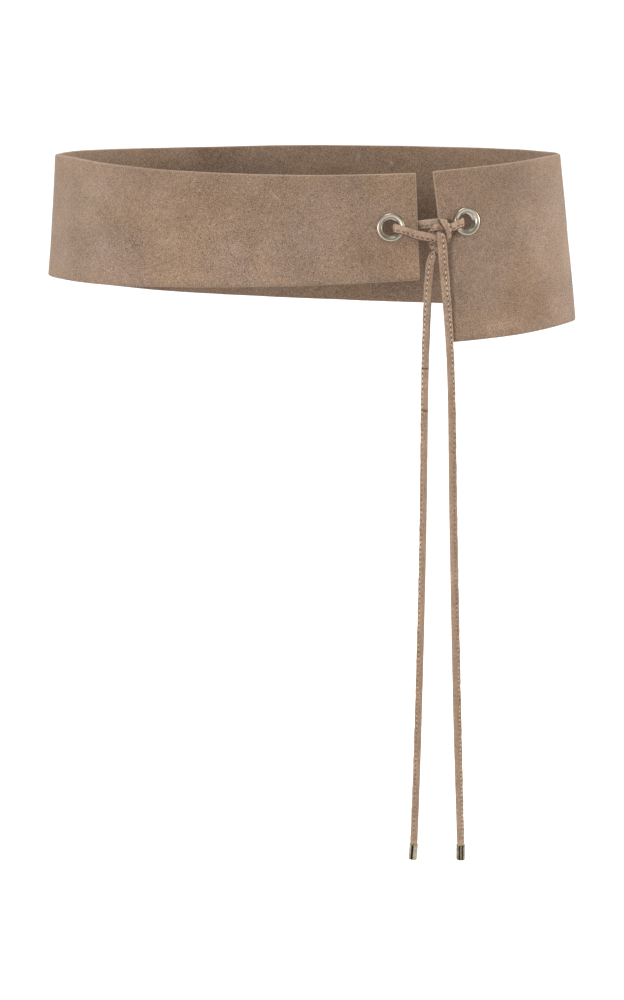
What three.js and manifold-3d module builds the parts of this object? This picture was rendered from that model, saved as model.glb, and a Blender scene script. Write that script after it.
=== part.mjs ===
// A wide suede waist belt in its worn loop, tied in front through two nickel eyelets with one flat suede lace.
// Millimetres, +Z up. +X is to the right of someone who faces the front, and +Y runs away from them.
// The origin is the middle of the hollow where the waist goes.
import * as THREE from "three";
import { mergeVertices } from "three/addons/utils/BufferGeometryUtils.js";
import Module from "manifold-3d";

// The loop seen from above: an oval a little squarer than an ellipse, with its top edge at TOP_EDGE
const LOOP_HALF_WIDTH = 140;
const LOOP_HALF_DEPTH = 97.5;
const LOOP_SQUARENESS = 2.4;
const TOP_EDGE = 45;

// The two free ends, measured along the top edge to the right of the front's middle
const LEFT_END = 57.3;
const RIGHT_END = 66.6;

// Each end is cut at a slant, with its foot this far to the right of its top
const LEFT_END_CUT = 1.2;
const RIGHT_END_CUT = 9.1;

// The suede wall leans out downwards, a little more on the right than on the left
const SUEDE_THICKNESS = 2;
const FLARE = THREE.MathUtils.degToRad(5.46);
const FLARE_LEAN = THREE.MathUtils.degToRad(1.15);

// The strip from its left end (place 0) round the left side, the back and the right side to its right end
// (place 1): how far its top edge rises above TOP_EDGE, and how wide it is from top edge to bottom edge
const STRIP = [
  { place: 0.0, rise: 0.6, width: 56.3 },
  { place: 0.08, rise: 0.0, width: 58.1 },
  { place: 0.17, rise: 1.7, width: 61.3 },
  { place: 0.27, rise: 5.3, width: 64.9 },
  { place: 0.33, rise: 2.6, width: 68.2 },
  { place: 0.39, rise: 1.0, width: 76.2 },
  { place: 0.48, rise: -0.2, width: 86.5 },
  { place: 0.58, rise: 0.0, width: 92.7 },
  { place: 0.68, rise: -0.2, width: 93.9 },
  { place: 0.77, rise: 0.9, width: 92.5 },
  { place: 0.83, rise: 3.0, width: 91.9 },
  { place: 0.89, rise: 5.3, width: 91.2 },
  { place: 0.95, rise: 3.6, width: 90.9 },
  { place: 1.0, rise: 1.3, width: 90.7 },
];
const STRIP_COLUMNS = 150;
const STRIP_ROWS = 4;

// The eyelets: from which end and how far along the strip, and how far below its top edge
const EYELET_DROP = 28.1;
const LEFT_EYELET_IN = 14.0;
const RIGHT_EYELET_IN = 17.9;
const EYELET_BORE_RADIUS = 4.4;
const EYELET_BARREL_RADIUS = 4.9;
const EYELET_FLANGE_RADIUS = 7.4;
const EYELET_FLANGE_HEIGHT = 1.4;
const EYELET_BACK_RADIUS = 6.6;
const EYELET_BACK_HEIGHT = 1.0;
const EYELET_BACK_GAP = 0.55;
const EYELET_SIDES = 28;
const FIT_GAP = 0.3;

// The lace: a flat strip of folded suede, sewn along one edge
const LACE_WIDTH = 4.6;
const LACE_THICKNESS = 1.6;
const LACE_EDGE = 0.5;

// The nickel tube on each tip of the lace
const AGLET_RADIUS = 2.3;
const AGLET_LENGTH = 9.4;
const AGLET_RIM = 0.25;
const AGLET_SIDES = 20;

const suede = new THREE.MeshStandardMaterial({ color: "#a58c78", roughness: 0.95, metalness: 0 });
const laceSuede = new THREE.MeshStandardMaterial({ color: "#a89078", roughness: 0.92, metalness: 0 });
const nickel = new THREE.MeshStandardMaterial({ color: "#c9c2b4", roughness: 0.28, metalness: 1 });

// The line of the loop seen from above, from the front's middle to the left, the back, the right and home
class LoopLine extends THREE.Curve {
  getPoint(share) {
    const angle = -Math.PI / 2 - 2 * Math.PI * share;
    const across = Math.abs(Math.cos(angle)) / LOOP_HALF_WIDTH;
    const deep = Math.abs(Math.sin(angle)) / LOOP_HALF_DEPTH;
    const radius = (across ** LOOP_SQUARENESS + deep ** LOOP_SQUARENESS) ** (-1 / LOOP_SQUARENESS);
    return new THREE.Vector3(radius * Math.cos(angle), radius * Math.sin(angle), 0);
  }
}
const loopLine = new LoopLine();
loopLine.arcLengthDivisions = 2400;
const LOOP_LENGTH = loopLine.getLength();
const STRIP_LENGTH = LOOP_LENGTH + LEFT_END - RIGHT_END;

// One column of a table at any place between its rows, as a smooth curve through the rows
function columnAt(table, column, place) {
  const last = table.length - 1;
  let i = 0;
  while (i < last - 1 && place > table[i + 1].place) i += 1;
  const slope = (k) => {
    const before = table[Math.max(k - 1, 0)];
    const after = table[Math.min(k + 1, last)];
    return (after[column] - before[column]) / (after.place - before.place);
  };
  const step = table[i + 1].place - table[i].place;
  const t = (place - table[i].place) / step;
  const start = (2 * t ** 3 - 3 * t ** 2 + 1) * table[i][column];
  const end = (3 * t ** 2 - 2 * t ** 3) * table[i + 1][column];
  const leave = (t ** 3 - 2 * t ** 2 + t) * step * slope(i);
  const arrive = (t ** 3 - t ** 2) * step * slope(i + 1);
  return start + end + leave + arrive;
}

// The strip's top edge at a place: the point, the way down the wall and the way out of its face
function stripFrame(place) {
  const share = THREE.MathUtils.euclideanModulo((place * STRIP_LENGTH - LEFT_END) / LOOP_LENGTH, 1);
  const top = loopLine.getPointAt(share);
  top.z = TOP_EDGE + columnAt(STRIP, "rise", place);
  const along = loopLine.getTangentAt(share);
  const outward = new THREE.Vector3(-along.y, along.x, 0).normalize();
  const lean = FLARE + FLARE_LEAN * outward.x;
  const down = outward.clone().multiplyScalar(Math.sin(lean));
  down.z = -Math.cos(lean);
  const face = outward.clone().multiplyScalar(Math.cos(lean));
  face.z = Math.sin(lean);
  return { top, down, face };
}

// A point of the strip: its place along, its share of the way down, and its depth behind the outer face
function stripPoint(place, share, depth) {
  const cut = THREE.MathUtils.lerp(LEFT_END_CUT, RIGHT_END_CUT, place) * share;
  const there = place - cut / STRIP_LENGTH;
  const frame = stripFrame(there);
  const drop = share * columnAt(STRIP, "width", THREE.MathUtils.clamp(there, 0, 1));
  return frame.top.addScaledVector(frame.down, drop).addScaledVector(frame.face, -depth);
}

// A closed wall from a grid of points on its outer face and the same grid on its inner face
function wallGeometry(columns, rows, pointAt) {
  const positions = [];
  const index = [];
  for (const side of [0, 1]) {
    for (let i = 0; i <= columns; i += 1) {
      for (let j = 0; j <= rows; j += 1) {
        positions.push(...pointAt(i / columns, j / rows, side).toArray());
      }
    }
  }
  const at = (i, j, side) => (side * (columns + 1) + i) * (rows + 1) + j;
  const quad = (a, b, c, d) => index.push(a, b, c, a, c, d);
  for (let i = 0; i < columns; i += 1) {
    for (let j = 0; j < rows; j += 1) {
      quad(at(i, j, 0), at(i + 1, j, 0), at(i + 1, j + 1, 0), at(i, j + 1, 0));
      quad(at(i, j, 1), at(i, j + 1, 1), at(i + 1, j + 1, 1), at(i + 1, j, 1));
    }
    quad(at(i, 0, 0), at(i, 0, 1), at(i + 1, 0, 1), at(i + 1, 0, 0));
    quad(at(i, rows, 0), at(i + 1, rows, 0), at(i + 1, rows, 1), at(i, rows, 1));
  }
  for (let j = 0; j < rows; j += 1) {
    quad(at(0, j, 0), at(0, j + 1, 0), at(0, j + 1, 1), at(0, j, 1));
    quad(at(columns, j, 0), at(columns, j, 1), at(columns, j + 1, 1), at(columns, j + 1, 0));
  }
  const geometry = new THREE.BufferGeometry();
  geometry.setAttribute("position", new THREE.Float32BufferAttribute(positions, 3));
  geometry.setIndex(index);
  return geometry;
}

const wasm = await Module();
wasm.setup();

function toSolid(geometry) {
  const bare = geometry.clone();
  bare.deleteAttribute("normal");
  bare.deleteAttribute("uv");
  const merged = mergeVertices(bare, 1e-4);
  return new wasm.Manifold(
    new wasm.Mesh({
      numProp: 3,
      vertProperties: merged.attributes.position.array,
      triVerts: new Uint32Array(merged.index.array),
    }),
  );
}

function toGeometry(solid) {
  const mesh = solid.getMesh();
  const geometry = new THREE.BufferGeometry();
  geometry.setAttribute("position", new THREE.BufferAttribute(mesh.vertProperties, 3));
  geometry.setIndex(new THREE.BufferAttribute(mesh.triVerts, 1));
  geometry.computeVertexNormals();
  return geometry;
}

// Where an eyelet sits: its middle on the outer face, the way out of the face and the way to the right in it
function eyeletSeat(place) {
  const frame = stripFrame(place);
  const middle = frame.top.clone().addScaledVector(frame.down, EYELET_DROP);
  const right = new THREE.Vector3().crossVectors(frame.face, frame.down).normalize();
  const turn = new THREE.Quaternion().setFromUnitVectors(new THREE.Vector3(0, 1, 0), frame.face);
  return { middle, face: frame.face, right, turn };
}
const leftSeat = eyeletSeat(LEFT_EYELET_IN / STRIP_LENGTH);
const rightSeat = eyeletSeat(1 - RIGHT_EYELET_IN / STRIP_LENGTH);

function beltBand() {
  const wall = wallGeometry(STRIP_COLUMNS, STRIP_ROWS, (place, share, side) =>
    stripPoint(place, share, side * SUEDE_THICKNESS),
  );
  let solid = toSolid(wall);
  for (const seat of [leftSeat, rightSeat]) {
    const radius = EYELET_BARREL_RADIUS + FIT_GAP;
    const punch = new THREE.CylinderGeometry(radius, radius, 6 * SUEDE_THICKNESS, EYELET_SIDES);
    punch.applyQuaternion(seat.turn);
    punch.translate(...seat.middle.toArray());
    solid = solid.subtract(toSolid(punch));
  }
  const band = new THREE.Mesh(toGeometry(solid), suede);
  band.name = "belt_band";
  return band;
}

// One eyelet, turned about Y: flange in front with a rounded crown, barrel through the suede, rolled rim behind
function eyelet(name, seat) {
  const bore = EYELET_BORE_RADIUS;
  const front = FIT_GAP;
  const back = -SUEDE_THICKNESS - EYELET_BACK_GAP;
  const crown = EYELET_FLANGE_HEIGHT;
  const heel = back - EYELET_BACK_HEIGHT;
  const profile = [
    [bore, heel + 0.5],
    [bore + 0.4, heel],
    [EYELET_BACK_RADIUS - 0.5, heel],
    [EYELET_BACK_RADIUS, heel + 0.4],
    [EYELET_BACK_RADIUS - 0.3, back],
    [EYELET_BARREL_RADIUS, back],
    [EYELET_BARREL_RADIUS, front],
    [EYELET_FLANGE_RADIUS - 0.1, front],
    [EYELET_FLANGE_RADIUS, front + 0.35],
    [EYELET_FLANGE_RADIUS - 0.45, crown - 0.2],
    [EYELET_FLANGE_RADIUS - 1.1, crown],
    [bore + 1.1, crown - 0.1],
    [bore + 0.4, crown - 0.5],
    [bore, crown - 1.2],
    [bore, heel + 0.5],
  ];
  const outline = profile.map(([radius, height]) => new THREE.Vector2(radius, height));
  const ring = new THREE.Mesh(new THREE.LatheGeometry(outline, EYELET_SIDES), nickel);
  ring.name = name;
  ring.position.copy(seat.middle);
  ring.quaternion.copy(seat.turn);
  return ring;
}

// The lace lies on rows of points, each with its width and the way its outer side looks. Rows in the knot are
// measured from the knot's middle: across to the right, up, and out towards the front.
const KNOT = new THREE.Vector3(69.7, -94.5, 13.2);
function knotRow({ across, up, out, wide, face }) {
  const point = new THREE.Vector3(KNOT.x + across, KNOT.y - out, KNOT.z + up);
  return { point, wide, face: new THREE.Vector3(face[0], -face[2], face[1]).normalize() };
}

// Rows round one rim of an eyelet, from the back of the band through the bore to its front: how far from the
// bore's middle, how high above the outer face, how far raised, and the way that the lace's outer side looks
const RIM_TURN = [
  { reach: 6.6, height: -4.85, raise: 0.5, look: [0, -1] },
  { reach: 4.6, height: -4.85, raise: 0.4, look: [-0.15, -1] },
  { reach: 3.1, height: -4.0, raise: 0.2, look: [-0.8, -0.8] },
  { reach: 2.4, height: -2.4, raise: 0.1, look: [-1, -0.1] },
  { reach: 2.4, height: -0.2, raise: 0, look: [-1, 0.1] },
  { reach: 3.1, height: 1.5, raise: -0.4, look: [-0.8, 0.8] },
  { reach: 4.6, height: 2.5, raise: -0.9, look: [-0.2, 1] },
  { reach: 6.6, height: 2.65, raise: -1.4, look: [0, 1] },
];
const LEFT_LACE_LIFT = -0.3;
const RIGHT_LACE_LIFT = -0.1;
// side is 1 to pass over the rim on the right and -1 on the left
function rimRows(seat, side, lift) {
  return RIM_TURN.map(({ reach, height, raise, look }) => {
    const point = seat.middle.clone().addScaledVector(seat.right, side * reach);
    point.addScaledVector(seat.face, height);
    point.z += raise + lift;
    const face = seat.right.clone().multiplyScalar(side * look[0]).addScaledVector(seat.face, look[1]);
    return { point, wide: LACE_WIDTH, face };
  });
}

// The left strand's loop, from behind the right strand where the right tail starts: up, over the right strand,
// down in front of it, then to the left behind the right tail and on to the left eyelet
const KNOT_LOOP = [
  { across: 0.43, up: 3.96, out: -0.65, wide: 3.5, face: [0, 0, -1] },
  { across: 0.47, up: 5.21, out: -0.75, wide: 3.6, face: [0, 0.1, -1] },
  { across: 0.59, up: 6.85, out: -0.25, wide: 3.9, face: [0.1, 0.8, -0.7] },
  { across: 0.88, up: 7.64, out: 1.3, wide: 4.2, face: [0.1, 1, 0] },
  { across: 1.44, up: 7.29, out: 2.9, wide: 4.4, face: [0.1, 0.6, 0.8] },
  { across: 2.41, up: 5.74, out: 3.65, wide: 4.3, face: [0.15, 0.1, 1] },
  { across: 3.7, up: 3.47, out: 3.5, wide: 3.8, face: [0.15, 0, 1] },
  { across: 4.28, up: 1.3, out: 3, wide: 3.3, face: [0.2, 0, 1] },
  { across: 3.91, up: -0.99, out: 2.3, wide: 3.5, face: [0.2, 0, 1] },
  { across: 2.37, up: -2.61, out: 1.9, wide: 4.3, face: [0.05, 0, 1] },
  { across: 0.28, up: -3.01, out: 1.7, wide: 4.7, face: [0, 0, 1] },
  { across: -1.62, up: -2.53, out: 1.7, wide: 4.6, face: [0, 0, 1] },
  { across: -4.28, up: -1.43, out: 2.1, wide: 4.9, face: [0.1, 0, 1] },
  { across: -7.99, up: -0.62, out: 2.7, wide: 5, face: [0.2, 0, 1] },
  { across: -13.3, up: 0.6, out: 3.7, wide: 5, face: [0.2, 0, 1] },
];
// The right strand from the right eyelet: under the loop to the left, then folded back and down
const RIGHT_STRAND = [
  { across: 6.01, up: 3.86, out: 0.4, wide: 4.5, face: [0.35, 0, 1] },
  { across: 2.81, up: 4.17, out: 1.3, wide: 3.8, face: [0.05, 0, 1] },
  { across: 0.43, up: 4.44, out: 1.4, wide: 3.5, face: [0, 0, 1] },
  { across: -1.67, up: 4.23, out: 1.4, wide: 3.9, face: [-0.1, 0.1, 1] },
  { across: -3.23, up: 3.73, out: 1.1, wide: 4.2, face: [-0.5, 0.3, 0.8] },
  { across: -3.77, up: 3.16, out: 0.25, wide: 4.2, face: [-0.8, 0.5, 0] },
  { across: -4.08, up: 2, out: -0.65, wide: 4, face: [-0.3, 0.1, -1] },
  { across: -4.33, up: 0.35, out: -0.8, wide: 4.2, face: [0, 0, -1] },
];
// The left tail: on from the right strand's fold, down behind the left strand, then hanging to its tip
const LEFT_TAIL = [
  { across: -4.35, up: -0.28, out: -0.8, wide: 4.2, face: [0, 0, -1] },
  { across: -4.36, up: -1.76, out: -0.8, wide: 4.5, face: [0, 0, -1] },
  { across: -4.28, up: -3.88, out: -0.9, wide: 4.6, face: [0, 0, -1] },
  { across: -3.42, up: -6.25, out: -0.8, wide: 4.6, face: [0, 0, -1] },
  { across: -2.57, up: -8.61, out: -0.6, wide: 4.6, face: [0, 0, -1] },
  { across: -3.24, up: -11.33, out: -0.3, wide: 4.6, face: [0, 0, -1] },
  { across: -4.8, up: -15.42, out: 0, wide: 4.6, face: [0, 0, -1] },
  { across: -5.73, up: -23.91, out: 0, wide: 4.5, face: [0, 0, -1] },
  { across: -6.61, up: -45.22, out: 0, wide: 4.2, face: [0, 0, -1] },
  { across: -7.29, up: -77.43, out: 0, wide: 4, face: [0, 0, -1] },
  { across: -7.53, up: -131.76, out: 0, wide: 4, face: [0, 0, -1] },
  { across: -7.82, up: -175.82, out: 0, wide: 3.9, face: [0, 0, -1] },
  { across: -9.86, up: -288.35, out: 0, wide: 4.1, face: [0, 0, -1] },
  { across: -11.2, up: -335.5, out: 0, wide: 4, face: [0, 0, -1] },
];
// The right tail: on from the left strand's loop, out under the right strand, down over the left strand, then
// hanging to its tip
const RIGHT_TAIL = [
  { across: 0.4, up: 3.54, out: -0.6, wide: 3.5, face: [0, 0, -1] },
  { across: 0.33, up: 2.4, out: -0.45, wide: 3.5, face: [0, -0.4, -0.9] },
  { across: 0.13, up: 1.25, out: 0.6, wide: 3.6, face: [0, -1, -0.15] },
  { across: -0.05, up: 1.06, out: 2.2, wide: 3.7, face: [0, -1, 0] },
  { across: 0.05, up: 0.74, out: 3.6, wide: 4.2, face: [0, -0.8, -0.6] },
  { across: 0.5, up: -0.44, out: 4.3, wide: 4.7, face: [0, -0.1, -1] },
  { across: 0.78, up: -2.5, out: 4.3, wide: 4.9, face: [0, 0, -1] },
  { across: 1.26, up: -7.53, out: 4.1, wide: 4.8, face: [0, 0, -1] },
  { across: 1.75, up: -13.87, out: 4, wide: 4.8, face: [0, 0, -1] },
  { across: 2.68, up: -23.39, out: 4, wide: 4.7, face: [0, 0, -1] },
  { across: 4.58, up: -44.63, out: 4.1, wide: 4.4, face: [0, 0, -1] },
  { across: 5.82, up: -63.32, out: 4.2, wide: 4.1, face: [0, 0, -1] },
  { across: 6.87, up: -87.51, out: 4.2, wide: 4.2, face: [0, 0, -1] },
  { across: 8.46, up: -152.81, out: 4.2, wide: 4.5, face: [0, 0, -1] },
  { across: 11.81, up: -264.34, out: 4.2, wide: 4.6, face: [0, 0, -1] },
  { across: 14.32, up: -334.07, out: 4.2, wide: 4, face: [0, 0, -1] },
];

// The lace's middle line through its rows, with the flat side turned and the width changed as the rows say.
// Rows further apart than FOLD_PACE get one more section between them than the rows in its folds.
const FOLD_PACE = 6;
const FOLD_STEPS = 2;
const PLAIN_STEPS = 3;
class LaceLine extends THREE.Curve {
  constructor(rows) {
    super();
    const line = new THREE.CatmullRomCurve3(rows.map((row) => row.point), false, "centripetal");
    const last = rows.length - 1;
    this.points = [];
    this.frames = { tangents: [], normals: [], binormals: [] };
    for (let i = 0; i < last; i += 1) {
      const count = rows[i].point.distanceTo(rows[i + 1].point) < FOLD_PACE ? FOLD_STEPS : PLAIN_STEPS;
      for (let k = 0; k < count + (i === last - 1 ? 1 : 0); k += 1) {
        const t = k / count;
        const share = (i + t) / last;
        const tangent = line.getTangent(share);
        const look = rows[i].face.clone().lerp(rows[i + 1].face, t);
        const across = look.cross(tangent).normalize();
        const wide = THREE.MathUtils.lerp(rows[i].wide, rows[i + 1].wide, t);
        this.points.push(line.getPoint(share));
        this.frames.tangents.push(tangent);
        this.frames.binormals.push(tangent.clone().cross(across));
        this.frames.normals.push(across.multiplyScalar(wide / LACE_WIDTH));
      }
    }
  }
  getSpacedPoints() {
    return this.points;
  }
  computeFrenetFrames() {
    return this.frames;
  }
}

// The lace's section: as wide as the lace, as thick as its folded suede, with eased edges
function laceSection() {
  const w = LACE_WIDTH / 2;
  const t = LACE_THICKNESS / 2;
  const e = LACE_EDGE;
  const corners = [
    [w, -t + e],
    [w, t - e],
    [w - e, t],
    [e - w, t],
    [-w, t - e],
    [-w, e - t],
    [e - w, -t],
    [w - e, -t],
  ];
  return new THREE.Shape(corners.map(([x, y]) => new THREE.Vector2(x, y)));
}

function lace(name, rows) {
  const path = new LaceLine(rows);
  const options = { steps: path.points.length - 1, extrudePath: path };
  const strip = new THREE.Mesh(new THREE.ExtrudeGeometry(laceSection(), options), laceSuede);
  strip.name = name;
  return strip;
}

// A crimped tube with eased rims, hanging in line with the last stretch of its tail
function aglet(name, rows) {
  const tip = rows.at(-1).point;
  const along = tip.clone().sub(rows.at(-2).point).normalize();
  const r = AGLET_RADIUS;
  const outline = [
    [0, 0],
    [r - AGLET_RIM, 0],
    [r, AGLET_RIM],
    [r, AGLET_LENGTH - AGLET_RIM],
    [r - AGLET_RIM, AGLET_LENGTH],
    [0, AGLET_LENGTH],
  ].map(([radius, height]) => new THREE.Vector2(radius, height));
  const tube = new THREE.Mesh(new THREE.LatheGeometry(outline, AGLET_SIDES), nickel);
  tube.name = name;
  tube.quaternion.setFromUnitVectors(new THREE.Vector3(0, 1, 0), along);
  tube.position.copy(tip).addScaledVector(along, FIT_GAP);
  return tube;
}

const belt = new THREE.Group();
belt.add(beltBand());
belt.add(eyelet("eyelet_left", leftSeat));
belt.add(eyelet("eyelet_right", rightSeat));

const leftTailRows = LEFT_TAIL.map(knotRow);
const rightTailRows = RIGHT_TAIL.map(knotRow);
const tieRows = [
  ...KNOT_LOOP.map(knotRow),
  ...rimRows(leftSeat, 1, LEFT_LACE_LIFT).reverse(),
  ...rimRows(rightSeat, -1, RIGHT_LACE_LIFT),
  ...RIGHT_STRAND.map(knotRow),
];
belt.add(lace("lace_tie", tieRows));
belt.add(lace("lace_tail_left", leftTailRows));
belt.add(lace("lace_tail_right", rightTailRows));
belt.add(aglet("aglet_left", leftTailRows));
belt.add(aglet("aglet_right", rightTailRows));

export default belt;
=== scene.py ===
"""A wide suede waist belt in its worn loop, tied in front with one flat suede lace through nickel eyelets."""

import math

import bpy
import numpy as np
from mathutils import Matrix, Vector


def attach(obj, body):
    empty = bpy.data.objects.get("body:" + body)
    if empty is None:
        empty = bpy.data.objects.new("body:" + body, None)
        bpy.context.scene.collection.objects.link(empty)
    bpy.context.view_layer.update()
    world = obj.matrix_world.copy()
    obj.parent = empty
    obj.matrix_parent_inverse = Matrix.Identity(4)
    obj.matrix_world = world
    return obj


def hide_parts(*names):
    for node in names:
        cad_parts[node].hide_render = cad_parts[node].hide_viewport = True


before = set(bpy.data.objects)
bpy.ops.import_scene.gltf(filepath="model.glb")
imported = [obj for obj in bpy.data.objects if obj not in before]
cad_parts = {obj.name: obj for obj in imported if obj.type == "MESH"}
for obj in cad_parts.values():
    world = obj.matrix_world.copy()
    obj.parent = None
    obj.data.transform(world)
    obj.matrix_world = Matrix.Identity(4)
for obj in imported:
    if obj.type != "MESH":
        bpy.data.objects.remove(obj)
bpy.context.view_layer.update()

# Camera: a 100 mm lens, 1.5 m in front of the belt and looking 12 degrees down on it, so that the loop shows
# its front from outside and its back from inside.
CAMERA_PLACE = (0, -1.555, 0.1779)
CAMERA_TILT, CAMERA_ROLL = 78.114, -0.09
LENS, LONG_SIDE = 100, 36
scene = bpy.context.scene


def add_object(name, data):
    """A new object in the scene, at the origin of the shared frame."""
    thing = bpy.data.objects.new(name, data)
    scene.collection.objects.link(thing)
    return thing


camera = add_object("front_camera", bpy.data.cameras.new("front_camera"))
camera.location = CAMERA_PLACE
camera.rotation_euler = (math.radians(CAMERA_TILT), 0, math.radians(CAMERA_ROLL))
camera.data.lens = LENS
camera.data.sensor_width = LONG_SIDE
scene.camera = camera


# Studio: a pale paper floor that runs far back under the hanging belt, white air all round it, a soft light
# in front a little to the left, one at each side that only grazes the turning ends, and one from above.
FLOOR_DROP = 0.36
FLOOR_REACH = 30
FLOOR_CORNERS = ((-1, -1), (1, -1), (1, 1), (-1, 1))
# Kinds of node: where a point is, and a value spread over a range
WHERE, RANGE = "ShaderNodeTexCoord", "ShaderNodeMapRange"


def linear(colour):
    """The linear colour of an sRGB hex value such as "#a58c78"."""
    parts = [int(colour[i : i + 2], 16) / 255 for i in (1, 3, 5)]
    return tuple(c / 12.92 if c <= 0.04045 else ((c + 0.055) / 1.055) ** 2.4 for c in parts) + (1,)


def add_node(tree, kind, inputs=(), **settings):
    """The outputs of a new node, with its settings made and its inputs set to values or linked to outputs."""
    node = tree.nodes.new(kind)
    for name, value in settings.items():
        setattr(node, name, value)
    for socket, value in dict(inputs).items():
        if isinstance(value, bpy.types.NodeSocket):
            tree.links.new(value, node.inputs[socket])
        else:
            node.inputs[socket].default_value = value
    return node.outputs


def start_material(name, **values):
    """A new material with its shader's sockets set, its node tree and the shader's inputs."""
    material = bpy.data.materials.new(name)
    material.use_nodes = True
    shader = next(n for n in material.node_tree.nodes if n.type == "BSDF_PRINCIPLED")
    for socket, value in values.items():
        shader.inputs[socket.replace("_", " ")].default_value = value
    return material, material.node_tree, shader.inputs


# Matt white paper: it scatters light evenly and has no gloss
white_paper, _, _ = start_material("white_paper", Base_Color=linear("#fbfbfb"), Roughness=0.9)
floor_points = [(x * FLOOR_REACH, y * FLOOR_REACH, -FLOOR_DROP) for x, y in FLOOR_CORNERS]
floor_mesh = bpy.data.meshes.new("paper_floor")
floor_mesh.from_pydata(floor_points, [], [(0, 1, 2, 3)])
floor_mesh.materials.append(white_paper)
paper_floor = add_object("paper_floor", floor_mesh)
# The belt hangs well above the paper, which throws no light up under it
paper_floor.visible_diffuse = False

# The air is white near the horizon, dimmer overhead, as in a studio with bright walls and an open ceiling,
# and dim from below
AIR_BANDS = (
    # rise of the way looked, from straight down to straight up, and the strength of the light from there
    (-1.0, 0.66),
    (-0.06, 0.66),
    (-0.02, 0.95),
    (0.10, 0.95),
    (0.25, 0.45),
    (0.45, 0.4),
    (1.0, 0.4),
)
world = bpy.data.worlds.new("studio_air")
world.use_nodes = True
air = world.node_tree
air_way = add_node(air, WHERE)["Generated"]
air_height = add_node(air, "ShaderNodeSeparateXYZ", {"Vector": air_way})["Z"]
air_share = add_node(air, RANGE, {"Value": air_height, "From Min": -1, "From Max": 1})
air_light = add_node(air, "ShaderNodeFloatCurve", {"Value": air_share["Result"]})[0]
air_curve = air_light.node.mapping.curves[0]
air_curve.points[0].location = (0, AIR_BANDS[0][1])
air_curve.points[1].location = (1, AIR_BANDS[-1][1])
for rise, strength in AIR_BANDS[1:-1]:
    air_curve.points.new((rise + 1) / 2, strength).handle_type = "VECTOR"
air_light.node.mapping.update()
background = air.nodes["Background"].inputs
background["Color"].default_value = (1, 1, 1, 1)
air.links.new(air_light, background["Strength"])
scene.world = world
scene.view_settings.view_transform = "Standard"

SOFTBOXES = (
    # name, place, aimed at, width, height, watts
    ("front_softbox", (-0.8, -2.0, 0.19), (0, 0, 0), 0.5, 0.48, 37),
    ("left_softbox", (-2.0, -0.3, 0.3), (-0.1, 0, 0), 0.7, 0.6, 15),
    ("right_softbox", (2.0, 0.3, 0.3), (0.1, 0, 0), 0.7, 0.6, 56),
)
for name, place, aim, width, height, watts in SOFTBOXES:
    lamp = add_object(name, bpy.data.lights.new(name, "AREA"))
    lamp.data.shape = "RECTANGLE"
    lamp.data.size, lamp.data.size_y, lamp.data.energy = width, height, watts
    lamp.location = place
    heading = Vector(aim) - Vector(place)
    lamp.rotation_euler = heading.to_track_quat("-Z", "Y").to_euler()
    lamp.visible_camera = False
# Light that falls almost straight down whitens the floor, only grazes the standing walls of the belt, and
# draws the short shadow under each strand of the lace
DOWN_LIGHT_STRENGTH = 2.75
DOWN_LIGHT_SPREAD, DOWN_LIGHT_LEAN = 40, 9
down_light = add_object("down_light", bpy.data.lights.new("down_light", "SUN"))
down_light.data.energy = DOWN_LIGHT_STRENGTH
down_light.data.angle = math.radians(DOWN_LIGHT_SPREAD)
down_light.rotation_euler = (math.radians(DOWN_LIGHT_LEAN), 0, 0)


# The belt itself: one strip of cow suede, 2 mm thick, cut as a shallow arc so that its loop flares downwards.
# It is narrow at the left end and wide from the back round to the right. Its edges are cut, not hemmed, its
# nap is brushed on both sides, and it keeps the shape of the waist.
MM = 0.001
LOOP_HALF_WIDTH = 140
LOOP_HALF_DEPTH = 97.5
LOOP_SQUARENESS = 2.4
TOP_EDGE = 45
LEFT_END, RIGHT_END = 57.3, 66.6
LEFT_END_CUT, RIGHT_END_CUT = 1.2, 9.1
SUEDE_THICKNESS = 2
FLARE, FLARE_LEAN = math.radians(5.46), math.radians(1.15)
STRIP = np.array([
    # place along, rise of the top edge, width
    (0.00, 0.6, 56.3),
    (0.08, 0.0, 58.1),
    (0.17, 1.7, 61.5),
    (0.22, 3.7, 64.5),
    (0.27, 5.3, 66.8),
    (0.33, 2.9, 68.5),
    (0.39, 1.1, 76.3),
    (0.48, -0.5, 86.5),
    (0.58, 0.1, 92.8),
    (0.68, 0.0, 94.4),
    (0.77, 1.1, 93.0),
    (0.83, 3.2, 92.6),
    (0.89, 5.3, 92.0),
    (0.95, 3.6, 91.6),
    (1.00, 1.3, 90.7),
])
EYELET_DROP = 28.1
LEFT_EYELET_IN, RIGHT_EYELET_IN = 14.0, 17.9
EYELET_HOLE = 5.4
PUNCH_LENGTH = 12
# The suede is pressed in round each eyelet: how far out, over what slope, how deep in front, what share of
# that behind, and how near to the eyelet along its axis
PRESS_REACH, PRESS_SLOPE, PRESS_DEPTH, PRESS_BEHIND, PRESS_NEAR = 11.5, 4.5, 0.3, 0.6, 8
# The cut edge: its outer arris is worn round over this drop and this depth, its inner arris only a little,
# and the two end cuts are eased over END_ROUND
OUTER_ARRIS_DROP, OUTER_ARRIS_DEPTH = 1.2, 1.0
INNER_ARRIS = 0.35
END_ROUND = 0.8
CUT_EDGE_STEPS = 5
STRIP_PITCH = 1.6
STRIP_ROWS = 46
HOLE_SIDES = 48
# The long shallow waves that a worn strip keeps, lower near its stiff ends
WAVES = (
    # height, length along the strip and down it for each radian, start
    (0.22, 11.3, 23, 0.7),
    (0.16, 6.7, -15, 2.1),
    (0.10, 4.1, 9.5, 4.4),
)
CALM_REACH, CALM_SHARE = 60, 0.25
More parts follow.
